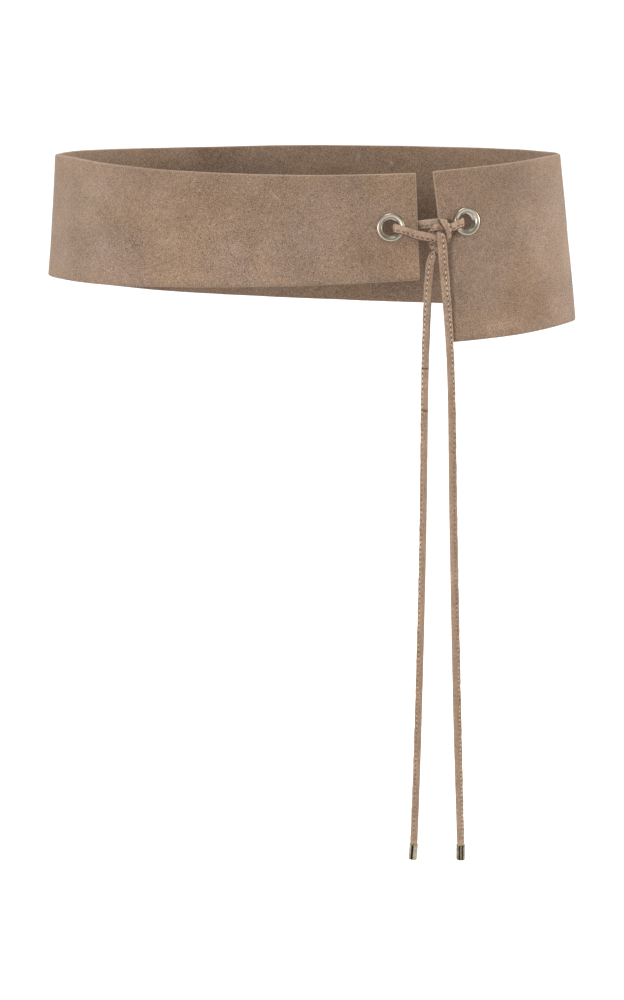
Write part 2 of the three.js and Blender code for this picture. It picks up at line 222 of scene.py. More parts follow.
# Soft spots on the outer face, each lighter or darker and warmer or cooler: partly real stains and handling,
# partly painted shade and painted light that follow how the light falls on the loop
STAINS_AND_PAINTED_SHADE = (
    # millimetres along the strip, millimetres down, half length, half height, lighter, warmer
    (4, 47, 12, 16, 0.10, 0.08),
    (40, 30, 14, 16, 0.01, 0.03),
    (68, 43, 32, 24, 0.02, -0.055),
    (100, 46, 26, 20, 0.15, 0.0),
    (142, 6, 24, 12, -0.20, 0.0),
    (120, 26, 16, 9, -0.06, 0.0),
    (186, 30, 26, 40, 0.02, -0.08),
    (655, 45, 36, 45, 0.02, -0.07),
    (716, 8, 26, 18, -0.14, 0.02),
    (742, 40, 18, 45, -0.12, 0.0),
    (712, 76, 24, 18, -0.14, 0.06),
    # Small pale scuffs
    (96, 38.5, 3.5, 2.2, 0.16, -0.02),
    (68, 57, 3, 2.5, 0.14, 0.0),
    (741, 85, 8, 1.8, 0.26, -0.02),
    (716, 44, 11, 7, 0.07, -0.02),
    (697, 77, 7, 5, 0.08, 0.0),
    (172, 14, 9, 6, 0.08, -0.03),
)
# A warmer spot gains in red this share of what it loses in blue
WARM_RED = 0.7
# The steps in which the loop's line is measured, and the short step that gives its direction
LOOP_STEPS = 2400
LOOP_NUDGE = 1e-4


def loop_points(t):
    """Points of the loop's line, seen from above, at t from 0 in front over left, back and right to 1."""
    angle = -math.pi / 2 - 2 * math.pi * t
    across = np.abs(np.cos(angle)) / LOOP_HALF_WIDTH
    deep = np.abs(np.sin(angle)) / LOOP_HALF_DEPTH
    radius = (across**LOOP_SQUARENESS + deep**LOOP_SQUARENESS) ** (-1 / LOOP_SQUARENESS)
    return np.stack([radius * np.cos(angle), radius * np.sin(angle)], -1)


loop_t = np.linspace(0, 1, LOOP_STEPS + 1)
loop_run = np.r_[0, np.cumsum(np.linalg.norm(np.diff(loop_points(loop_t), axis=0), axis=1))]
LOOP_LENGTH = loop_run[-1]
STRIP_LENGTH = LOOP_LENGTH + LEFT_END - RIGHT_END


def column_at(table, column, place):
    """One column of a table at places between its rows, as a smooth curve through the rows."""
    rows, values = table[:, 0], table[:, column]
    here = np.arange(len(rows))
    before, after = np.maximum(here - 1, 0), np.minimum(here + 1, len(rows) - 1)
    slopes = (values[after] - values[before]) / (rows[after] - rows[before])
    i = np.clip(np.searchsorted(rows, place, side="right") - 1, 0, len(rows) - 2)
    step = rows[i + 1] - rows[i]
    t = (place - rows[i]) / step
    held = (2 * t**3 - 3 * t**2 + 1) * values[i] + (3 * t**2 - 2 * t**3) * values[i + 1]
    return held + (t**3 - 2 * t**2 + t) * step * slopes[i] + (t**3 - t**2) * step * slopes[i + 1]


def strip_frame(place):
    """The top edge at places along the strip: its points, the ways down the wall and the ways out of it."""
    run = np.mod(place * STRIP_LENGTH - LEFT_END, LOOP_LENGTH)
    t = np.interp(run, loop_run, loop_t)
    flat = loop_points(t)
    along = loop_points(t + LOOP_NUDGE) - loop_points(t - LOOP_NUDGE)
    along /= np.linalg.norm(along, axis=-1, keepdims=True)
    outward = np.stack([-along[..., 1], along[..., 0]], -1)
    lean = FLARE + FLARE_LEAN * outward[..., 0]
    top = np.concatenate([flat, (TOP_EDGE + column_at(STRIP, 1, place))[..., None]], -1)
    down = np.concatenate([outward * np.sin(lean)[..., None], -np.cos(lean)[..., None]], -1)
    face = np.concatenate([outward * np.cos(lean)[..., None], np.sin(lean)[..., None]], -1)
    return top, down, face


def eyelet_seat(place):
    """Where an eyelet sits: its middle on the outer face, the way out, and the way to the right."""
    top, down, face = strip_frame(np.array(place))
    right = np.cross(face, down)
    return top + down * EYELET_DROP, face, right / np.linalg.norm(right)


left_seat = eyelet_seat(LEFT_EYELET_IN / STRIP_LENGTH)
right_seat = eyelet_seat(1 - RIGHT_EYELET_IN / STRIP_LENGTH)


def strip_points(place, drop, depth):
    """Points of the strip from their places along it, their millimetres down it and those behind its face."""
    width = column_at(STRIP, 2, np.clip(place, 0, 1))
    cut = (LEFT_END_CUT + (RIGHT_END_CUT - LEFT_END_CUT) * place) * drop / width
    there = place - cut / STRIP_LENGTH
    top, down, face = strip_frame(there)
    share = drop / width
    drop = share * column_at(STRIP, 2, np.clip(there, 0, 1))
    run = there * STRIP_LENGTH
    calm = np.clip(np.minimum(run, STRIP_LENGTH - run) / CALM_REACH, CALM_SHARE, 1)
    wave = sum(height * np.sin(run / along + drop / deep + start) for height, along, deep, start in WAVES)
    return top + down * drop[..., None] + face * (calm * wave - depth)[..., None]


def stain_and_shade_at(along, drop):
    """How much red, green and blue the stains and painted shade and light add to the colour, as shares of it.
    """
    shift = np.zeros(along.shape + (3,))
    for at, down, half_length, half_height, lighter, warmer in STAINS_AND_PAINTED_SHADE:
        spot = np.exp(-(((along - at) / half_length) ** 2) - ((drop - down) / half_height) ** 2)
        shift += spot[..., None] * (lighter + WARM_RED * warmer, lighter, lighter - warmer)
    return shift


def tube_mesh(name, points, material, cap=()):
    """A smooth tube through rows of points in millimetres, its faces turned outwards. The cap's faces, told
    by the first row's points, close both ends. Without a cap it is a ring, whose last row joins its first."""
    rows, count = points.shape[:2]
    faces = []
    for i in range(rows - 1 if cap else rows):
        m = (i + 1) % rows
        for j in range(count):
            k = (j + 1) % count
            faces.append((i * count + j, i * count + k, m * count + k, m * count + j))
    faces += [tuple(face[::-1]) for face in cap]
    faces += [tuple((rows - 1) * count + j for j in face) for face in cap]
    mesh = bpy.data.meshes.new(name)
    mesh.from_pydata((points.reshape(-1, 3) * MM).tolist(), [], faces)
    mesh.update()
    if sum(p.area * p.normal.dot(p.center) for p in mesh.polygons) < 0:
        mesh.flip_normals()
    mesh.polygons.foreach_set("use_smooth", [True] * len(mesh.polygons))
    mesh.materials.append(material)
    return add_object(name, mesh)


def settle(thing, modifier):
    """Turn what a modifier makes of an object into its own plain mesh."""
    evaluated = thing.evaluated_get(bpy.context.evaluated_depsgraph_get())
    plain = bpy.data.meshes.new_from_object(evaluated)
    thing.modifiers.remove(modifier)
    thing.data = plain


def mark_points(mesh, label, values):
    """Write one value, or three, on each point of a mesh, where its material or its stitches read them."""
    values = np.ascontiguousarray(values, np.float32).ravel()
    three = len(values) > len(mesh.vertices)
    mark = mesh.attributes.new(label, "FLOAT_VECTOR" if three else "FLOAT", "POINT")
    mark.data.foreach_set("vector" if three else "value", values)


def strip_mesh(name, material):
    """The suede strip with rounded cut edges, pressed in round its eyelets."""
    turn = np.linspace(0, math.pi / 2, CUT_EDGE_STEPS + 1)
    end_along, end_inset = END_ROUND * (1 - np.cos(turn)), END_ROUND * (1 - np.sin(turn))
    middle = np.arange(END_ROUND, STRIP_LENGTH - END_ROUND, STRIP_PITCH)[1:]
    run = np.r_[end_along, middle, STRIP_LENGTH - end_along[::-1]]
    inset = np.r_[end_inset, np.zeros(len(middle)), end_inset[::-1]]
    share = np.linspace(0, 1, STRIP_ROWS + 1)
    thick = SUEDE_THICKNESS
    # The edge below, from the outer face round to the inner face. The edge above mirrors it.
    edge = [(OUTER_ARRIS_DROP * (1 - math.sin(s)), OUTER_ARRIS_DEPTH * (1 - math.cos(s))) for s in turn[1:]]
    edge += [(INNER_ARRIS * (1 - math.cos(s)), thick - INNER_ARRIS * (1 - math.sin(s))) for s in turn[:-1]]
    rows = []
    for a, e in zip(run, inset):
        place = a / STRIP_LENGTH
        width = float(column_at(STRIP, 2, np.array(place)))
        outer = OUTER_ARRIS_DROP + (width - 2 * OUTER_ARRIS_DROP) * share
        inner = INNER_ARRIS + (width - 2 * INNER_ARRIS) * share
        section = [(v, 0, 0) for v in outer] + [(width - v, d, 0) for v, d in edge]
        section += [(v, thick, 1) for v in inner[::-1]] + [(v, d, 0) for v, d in edge[::-1]]
        squeeze_v, squeeze_d = (width - 2 * e) / width, (thick - 2 * e) / thick
        for k, (v, d, side) in enumerate(section):
            reach = min(v, width - v, a, STRIP_LENGTH - a)
            section[k] = (place, e + v * squeeze_v, e + d * squeeze_d, side, reach)
        rows.append(section)
    grid = np.array(rows)
    points = strip_points(grid[..., 0], grid[..., 1], grid[..., 2])
    for centre, face, _ in (left_seat, right_seat):
        away = points - centre
        height = away @ face
        reach = np.linalg.norm(away - height[..., None] * face, axis=-1)
        press = np.clip((PRESS_REACH - reach) / PRESS_SLOPE, 0, 1)
        press = PRESS_DEPTH * press * press * (3 - 2 * press)
        press = np.where(np.abs(height) > PRESS_NEAR, 0, press)
        points += face * (np.where(grid[..., 3] > 0.5, PRESS_BEHIND, -1) * press)[..., None]
    # Each end cut is closed across the strip, from its outer to its inner face, and along both its edges
    n, side = STRIP_ROWS, CUT_EDGE_STEPS * 2
    cap = [(j, j + 1, 2 * n + side - j, 2 * n + side + 1 - j) for j in range(n)]
    cap += [tuple(range(n, n + side + 2)), (0, *range(2 * n + side + 1, 2 * (n + side + 1)))]
    strip = tube_mesh(name, points, material, cap)
    mark_points(strip.data, "edge_mm", grid[..., 4])
    # Stains and painted shade and light, on the outer face only
    shift = stain_and_shade_at(grid[..., 0] * STRIP_LENGTH, grid[..., 1])
    mark_points(strip.data, "stain_and_painted_light", shift * (1 - grid[..., 3:4]))
    return strip


# A brushed tuft of nap is a few millimetres across, and a scuff of it about a centimetre
TUFT = 3
SCUFF = 9
# What the grain, the tufts and the clouds give to the light and dark of the nap
GRAIN_SHARE, TUFT_SHARE, CLOUD_SHARE = 3.7, 0.2, 0.42
NAP_LEAN, NAP_RELIEF = 0.7, 0.5
# The dye lies in larger patches: the clouds' scale times this
DYE_SCALE = 0.7
# More kinds of node: a mottled pattern, a mark that a mesh carries, a mix, and sums of numbers and vectors
NOISE, MARK, MIX = "ShaderNodeTexNoise", "ShaderNodeAttribute", "ShaderNodeMix"
SUM, VECTOR_SUM = "ShaderNodeMath", "ShaderNodeVectorMath"
# The sockets of a mix for the colour below, the colour over it and what comes of them
BELOW, OVER, MIXED = 6, 7, 2


def suede_material(name, nap, cloud, root, warm, cool, edge_fibre, sheen):
    """Brushed suede: its fibres stand up and catch light at a glancing angle, and it is speckled and clouded
    by how they lie. Their roots show dark between crests that run from a warm to a cool taupe."""
    material, tree, shader = start_material(name, Roughness=0.92, Specular_IOR_Level=0.15, Sheen_Weight=sheen)
    shader["Sheen Roughness"].default_value = 0.4
    shader["Sheen Tint"].default_value = linear("#f3e2d4")
    where = add_node(tree, WHERE)["Object"]
    # The nap leans down the strip, so its speckle is drawn out that way a little
    leaned = add_node(tree, "ShaderNodeMapping", {"Vector": where, "Scale": (1, 1, NAP_LEAN)})["Vector"]
    grain = add_node(tree, NOISE, {"Vector": leaned, "Scale": 1 / (nap * MM), "Detail": 4, "Roughness": 0.72})
    tufts = add_node(tree, NOISE, {"Vector": where, "Scale": 1 / (TUFT * MM), "Detail": 2, "Roughness": 0.6})
    clouds = add_node(tree, NOISE, {"Vector": where, "Scale": 1 / (cloud * MM), "Detail": 3})
    dyed = {"Vector": where, "Scale": DYE_SCALE / (cloud * MM), "Detail": 2, "Distortion": 0.6}
    dye = add_node(tree, NOISE, dyed)["Fac"]
    shade = 0.5
    for source, weight in ((grain, GRAIN_SHARE), (tufts, TUFT_SHARE), (clouds, CLOUD_SHARE)):
        centred = {0: source["Fac"], 1: weight, 2: -weight / 2}
        lifted = add_node(tree, SUM, centred, operation="MULTIPLY_ADD")[0]
        shade = add_node(tree, SUM, {0: lifted, 1: shade}, operation="ADD")[0]
    tone = add_node(tree, RANGE, {"Value": dye, "From Min": 0.37, "From Max": 0.63})
    warmth = {"Factor": tone["Result"], BELOW: linear(warm), OVER: linear(cool)}
    crest = add_node(tree, MIX, warmth, data_type="RGBA")[MIXED]
    # A few pale scuffs where the nap was brushed up
    roughed = {"Vector": where, "Scale": 1 / (SCUFF * MM), "Detail": 4, "Roughness": 0.6, "Distortion": 0.8}
    brushed = add_node(tree, NOISE, roughed)["Fac"]
    scuff = add_node(tree, RANGE, {"Value": brushed, "From Min": 0.66, "From Max": 0.8, "To Max": 0.4})[0]
    # At a cut edge the bare fibre shows
    edge = add_node(tree, MARK, attribute_name="edge_mm")["Fac"]
    cut_range = {"Value": edge, "From Min": 0.1, "From Max": 0.7, "To Min": 0.5, "To Max": 0}
    bare = add_node(tree, RANGE, cut_range)[0]
    colour = linear(root)
    for share, over in ((shade, crest), (scuff, linear("#b9a594")), (bare, linear(edge_fibre))):
        colour = add_node(tree, MIX, {"Factor": share, BELOW: colour, OVER: over}, data_type="RGBA")[MIXED]
    # Stains, painted shade and painted light change the colour by a share of it, and where nothing is marked
    # there is no change
    stain_and_painted_light = add_node(tree, MARK, attribute_name="stain_and_painted_light")["Vector"]
    share = add_node(tree, VECTOR_SUM, {0: stain_and_painted_light, 1: (1, 1, 1)}, operation="ADD")[0]
    shifted_colour = add_node(tree, VECTOR_SUM, {0: colour, 1: share}, operation="MULTIPLY")
    tree.links.new(shifted_colour[0], shader["Base Color"])
    relief = {"Height": grain["Fac"], "Strength": 0.8, "Distance": NAP_RELIEF * MM}
    tree.links.new(add_node(tree, "ShaderNodeBump", relief)["Normal"], shader["Normal"])
    return material, tree, shader


taupe_suede, _, _ = suede_material(
    "taupe_brushed_suede",
    nap=0.34, cloud=26, sheen=0.2,
    root="#3c2d22", warm="#a48971", cool="#a18875", edge_fibre="#a08b78",
)
belt = strip_mesh("suede_belt_strip", taupe_suede)

# The two punched holes go through the strip along each eyelet's axis
for centre, face, _ in (left_seat, right_seat):
    bpy.ops.mesh.primitive_cylinder_add(vertices=HOLE_SIDES, radius=EYELET_HOLE * MM, depth=PUNCH_LENGTH * MM)
    punch = bpy.context.object
    punch.rotation_euler = Vector(face).to_track_quat("Z", "Y").to_euler()
    punch.location = Vector(centre * MM)
    cut = belt.modifiers.new("punched_hole", "BOOLEAN")
    cut.operation, cut.solver, cut.object = "DIFFERENCE", "EXACT", punch
    settle(belt, cut)
    bpy.data.objects.remove(punch)
belt.data.name = "suede_belt_strip"
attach(belt, "root")
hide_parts("belt_band")


# The eyelets: each a brass ring drawn through the punched hole, nickel plated and satin tumbled. The flange
# in front is a full round with a small inner lip, and the roll behind is narrower.
EYELET_SIDES = 96
EYELET_PROFILE = (
    # radius, height above the suede's outer face: the roll behind
    (5.15, -1.75), (5.7, -2.0), (6.4, -1.98), (6.65, -2.2), (6.67, -2.55), (6.4, -2.95),
    (5.9, -3.22), (5.3, -3.3), (4.75, -3.2), (4.5, -2.9),
    # the bore
    (4.4, -2.4), (4.36, -1.2), (4.38, -0.6), (4.47, 0.0),
    # the small inner lip
    (4.57, 0.46), (4.68, 0.78), (4.81, 0.92), (4.94, 0.84), (5.02, 0.56), (5.09, 0.44),
    # the crowned flange and its rim, which is pressed into the suede
    (5.2, 0.6), (5.5, 0.8), (5.95, 0.99), (6.4, 1.1), (6.8, 1.12), (7.12, 0.98), (7.36, 0.7),
    (7.5, 0.34), (7.54, -0.02), (7.44, -0.32),
    # and back underneath
    (7.0, -0.4), (5.8, -0.36), (5.25, -0.5), (5.12, -0.9),
)
TUMBLE_MARK, DENT_DEPTH = 0.9, 0.06

# Satin nickel: a warm grey shine, blurred by tumbling marks about a millimetre across
satin_nickel, tree, shader = start_material("satin_nickel_plate", Base_Color=linear("#928a7c"), Metallic=1)
where = add_node(tree, WHERE)["Object"]
marks = {"Vector": where, "Scale": 1 / (TUMBLE_MARK * MM), "Detail": 3}
tumbled = add_node(tree, NOISE, marks)["Fac"]
gloss = add_node(tree, RANGE, {"Value": tumbled, "To Min": 0.3, "To Max": 0.4})
tree.links.new(gloss["Result"], shader["Roughness"])
dents = add_node(tree, "ShaderNodeBump", {"Height": tumbled, "Strength": 0.08, "Distance": DENT_DEPTH * MM})
tree.links.new(dents["Normal"], shader["Normal"])

for side, (centre, face, right) in (("left", left_seat), ("right", right_seat)):
    radius, height = np.array(EYELET_PROFILE).T[:, :, None]
    turn = 2 * math.pi * np.arange(EYELET_SIDES)[:, None, None] / EYELET_SIDES
    spoke = right * np.cos(turn) + np.cross(face, right) * np.sin(turn)
    points = centre + spoke * radius + face * height
    ring = tube_mesh(f"nickel_eyelet_{side}", points, satin_nickel)
    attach(ring, "root")
    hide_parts(f"eyelet_{side}")


# The lace: one strip of thin suede, folded in half lengthwise and sewn shut along its open edge. Its middle
# runs out of both eyelets, round the knot in front and across behind the gap, and its ends hang as two tails.
LACE_WIDTH = 4.6
HALF_THICK = 0.95
# How flat the section is, with a full round at 2
LACE_FLATNESS = 3
LACE_STEP = 0.42
KNOT = np.array((69.7, -94.5, 13.2))
BACK = (0, 0, -1)
KNOT_LOOP = (
    # across to the right, up, out to the front, width, the way the outer side looks
    (0.43, 3.96, -0.65, 3.5, BACK),
    (0.47, 5.21, -0.75, 3.6, (0, 0.1, -1)),
    (0.59, 6.85, -0.25, 3.9, (0.1, 0.8, -0.7)),
    (0.88, 7.64, 1.3, 4.2, (0.1, 1, 0)),
    (1.44, 7.29, 2.9, 4.4, (0.1, 0.6, 0.8)),
    (2.41, 5.74, 3.65, 4.3, (0.15, 0.1, 1)),
    (3.7, 3.47, 3.5, 3.8, (0.15, 0, 1)),
    (4.28, 1.3, 3, 3.3, (0.2, 0, 1)),
    (3.91, -0.99, 2.3, 3.5, (0.2, 0, 1)),
    (2.37, -2.61, 1.9, 4.1, (0.05, 0, 1)),
    (0.28, -2.9, 1.7, 4.2, (0, 0, 1)),
    (-1.62, -2.35, 1.7, 4.3, (0, 0, 1)),
    (-4.28, -1.43, 2.1, 4.7, (0.1, 0.25, 1)),
    (-7.99, -0.62, 2.5, 5, (0.2, 0.4, 1)),
    (-13.3, 0.6, 3.1, 5, (0.2, 0.4, 1)),
)
RIGHT_STRAND = (
    (6.01, 3.86, 0.4, 4.5, (0.35, 0, 1)),
    (2.81, 4.17, 1.3, 3.8, (0.05, 0, 1)),
    (0.43, 4.44, 1.4, 3.5, (0, 0, 1)),
    (-1.67, 4.23, 1.4, 3.9, (-0.1, 0.1, 1)),
    (-3.23, 3.73, 1.1, 4.2, (-0.5, 0.3, 0.8)),
    (-3.77, 3.16, 0.25, 4.2, (-0.8, 0.5, 0)),
    (-4.08, 2, -0.65, 4, (-0.3, 0.1, -1)),
    (-4.33, 0.35, -0.8, 4.2, BACK),
)
LEFT_TAIL = (
    (-4.35, -0.28, -0.8, 4.2, BACK),
    (-4.36, -1.76, -0.8, 4.5, BACK),
    (-4.28, -3.88, -0.9, 4.6, BACK),
    (-3.42, -6.25, -0.8, 4.6, BACK),
    (-2.7, -8.61, -0.6, 4.4, BACK),
    (-3.9, -11.33, -0.3, 3.8, BACK),
    (-5.0, -15.42, 0, 4.2, BACK),
    (-5.73, -23.91, 0, 4.5, BACK),
    (-6.61, -45.22, 0, 4.2, BACK),
    (-7.29, -77.43, 0, 4, BACK),
    (-7.53, -131.76, 0, 4, BACK),
    (-7.82, -175.82, 0, 3.9, BACK),
    (-9.86, -288.35, 0, 4.1, BACK),
    (-11.24, -337.0, 0, 4.1, BACK),
)
RIGHT_TAIL = (
    (0.4, 3.54, -0.6, 3.5, BACK),
    (0.33, 2.4, -0.45, 3.5, (0, -0.4, -0.9)),
    (0.13, 1.25, 0.6, 3.6, (0, -1, -0.15)),
    (-0.05, 1.06, 2.2, 3.7, (0, -1, 0)),
    (0.05, 0.74, 3.6, 4.2, (0, -0.8, -0.6)),
    (0.5, -0.44, 4.3, 4.7, (0, -0.1, -1)),
    (0.78, -2.5, 4.3, 4.9, BACK),
    (1.26, -7.53, 4.1, 4.8, BACK),
    (1.75, -13.87, 4, 4.8, BACK),
    (2.68, -23.39, 4, 4.7, BACK),
    (4.58, -44.63, 4.1, 4.4, BACK),
    (5.82, -63.32, 4.2, 4.1, BACK),
    (6.87, -87.51, 4.2, 4.2, BACK),
    (8.46, -152.81, 4.2, 4.5, BACK),
    (11.81, -264.34, 4.2, 4.6, BACK),
    (14.38, -335.87, 4.2, 4.1, BACK),
)
# Rows round an eyelet's rim: reach from the bore's middle, height above the face, raise, the way it looks
RIM_TURN = (
    (6.6, -4.85, 0.5, (0, -1)),
    (4.6, -4.85, 0.4, (-0.15, -1)),
    (3.1, -4.0, 0.2, (-0.8, -0.8)),
    (2.4, -2.4, 0.1, (-1, -0.1)),
    (2.4, -0.2, 0, (-1, 0.1)),
    (3.1, 1.5, -0.4, (-0.8, 0.8)),
    (4.6, 2.5, -0.9, (-0.2, 1)),
    (6.6, 2.65, -1.4, (0, 1)),
)
LEFT_LACE_LIFT, RIGHT_LACE_LIFT = -0.3, -0.1
LEFT_TIP_UP, RIGHT_TIP_UP = 0.4, 0.2


def knot_rows(table):
    """Rows measured from the knot's middle, as points, widths and the ways that the outer side looks."""
    rows = []
    for across, up, out, wide, (look_x, look_z, look_out) in table:
        rows.append((KNOT + (across, -out, up), wide, np.array((look_x, -look_out, look_z), float)))
    return rows


def rim_rows(seat, side, lift, tip_up):
    """Rows over an eyelet's rim, from behind the band to its front, on its right (side 1) or its left (-1).
    In front the lace's outer side is tipped up a little."""
    centre, face, right = seat
    rows = []
    for reach, height, rise, look in RIM_TURN:
        point = centre + right * side * reach + face * height + (0, 0, rise + lift)
        upward = np.array((0, 0, tip_up * max(look[1], 0)))
        rows.append((point, LACE_WIDTH, right * side * look[0] + face * look[1] + upward))
    return rows


# The steps of the line between two rows, and those over which its facing and its width are eased
LINE_STEPS = 60
EASE_STEPS = 3


class LaceRun:
    """The lace's middle line through its rows, with its widths and the ways that its flat side looks."""

    def __init__(self, rows):
        points = np.array([row[0] for row in rows])
        points = np.vstack([2 * points[0] - points[1], points, 2 * points[-1] - points[-2]])
        span = np.sqrt(np.linalg.norm(np.diff(points, axis=0), axis=1))
        p0, p1, p2, p3 = points[:-3], points[1:-2], points[2:-1], points[3:]
        d0, d1, d2 = span[:-2, None], span[1:-1, None], span[2:, None]
        leave = ((p1 - p0) / d0 - (p2 - p0) / (d0 + d1) + (p2 - p1) / d1) * d1
        arrive = ((p2 - p1) / d1 - (p3 - p1) / (d1 + d2) + (p3 - p2) / d2) * d1
        self.cubic = (p1, leave, -3 * p1 + 3 * p2 - 2 * leave - arrive, 2 * p1 - 2 * p2 + leave + arrive)
        looks = np.array([row[2] / np.linalg.norm(row[2]) for row in rows])
        fine = np.linspace(0, len(rows) - 1, LINE_STEPS * (len(rows) - 1) + 1)
        walked = np.r_[0, np.cumsum(np.linalg.norm(np.diff(self.at(fine)[0], axis=0), axis=1))]
        self.length = walked[-1]
        self.run = np.linspace(0, self.length, int(round(self.length / LACE_STEP)) + 1)
        self.share = np.interp(self.run, walked, fine)
        self.points, tangents = self.at(self.share)
        part = np.minimum(self.share.astype(int), len(rows) - 2)
        t = (self.share - part)[:, None]
        look = looks[part] * (1 - t) + looks[part + 1] * t
        widths = np.interp(self.share, np.arange(len(rows)), [row[1] for row in rows])
        # A band of leather can't turn or widen at once
        kernel = np.hanning(2 * EASE_STEPS + 3)[1:-1]
        kernel /= kernel.sum()
        for k in range(3):
            look[:, k] = np.convolve(np.pad(look[:, k], EASE_STEPS, "edge"), kernel, "valid")
        self.widths = np.convolve(np.pad(widths, EASE_STEPS, "edge"), kernel, "valid")
        across = np.cross(look, tangents)
        self.across = across / np.linalg.norm(across, axis=1, keepdims=True)
        self.out = np.cross(tangents, self.across)

    def at(self, share):
        """The points and the directions of the line, at shares counted in rows."""
        part = np.minimum(share.astype(int), len(self.cubic[0]) - 1)
        t = (share - part)[:, None]
        c0, c1, c2, c3 = (c[part] for c in self.cubic)
        tangent = c1 + 2 * c2 * t + 3 * c3 * t * t
        return c0 + c1 * t + c2 * t * t + c3 * t**3, tangent / np.linalg.norm(tangent, axis=1, keepdims=True)


# The stitch length at the two ends of each piece, because the lace was fed by hand
TIE_PITCHES, LEFT_PITCHES, RIGHT_PITCHES = (2.75, 2.75), (2.8, 2.65), (2.85, 2.3)
# The stitches' groove is pulled deeper at each needle hole, by this share of its depth
GROOVE_DEPTH, GROOVE_HALF, NEEDLE_PULL = 0.4, 0.34, 0.6
# The lip outside the groove: how much thinner it is, over what width, how thick each ply is at its cut edge,
# and how far in the valley between the two plies goes
LIP_THIN, LIP_REACH, PLY_EDGE, VALLEY_IN = 0.2, 0.5, 0.24, 0.34
# Nowhere is half its thickness less than this
THINNEST = 0.05
FACE_STEPS = 26
# Hand-cut suede swells and thins a little, and its cut edge wanders: height, length for each radian, start
SWELL = ((0.05, 3.1, 0), (0.04, 1.3, 2))
STRAY = ((0.07, 2.3, 1), (0.05, 0.9, 0))
# Painted shade along an edge fades in over half a row
PAINTED_SHADE_FADE = 0.5
# The last stretch of each tail is drawn in to fit its tip, all but its core
TUCK_END = 4
TUCK_WIDE, TUCK_THICK, TUCK_CORE = 2.0, 1.85, 0.6
# Slits and thread change along a piece, and are told at these millimetres from its start
STATIONS = (0, 45, 110, 400)


def ripple(run, waves):
    """The sum of small waves along a run, each with its height, its length for a radian and its start."""
    return sum(height * np.sin(run / length + start) for height, length, start in waves)


def stitch_count(path, pitches):
    """How many stitches lie before each place along a piece of lace."""
    pitch = np.interp(path.run, (0, path.length), pitches)
    return np.r_[0, np.cumsum(2 * np.diff(path.run) / (pitch[1:] + pitch[:-1]))]


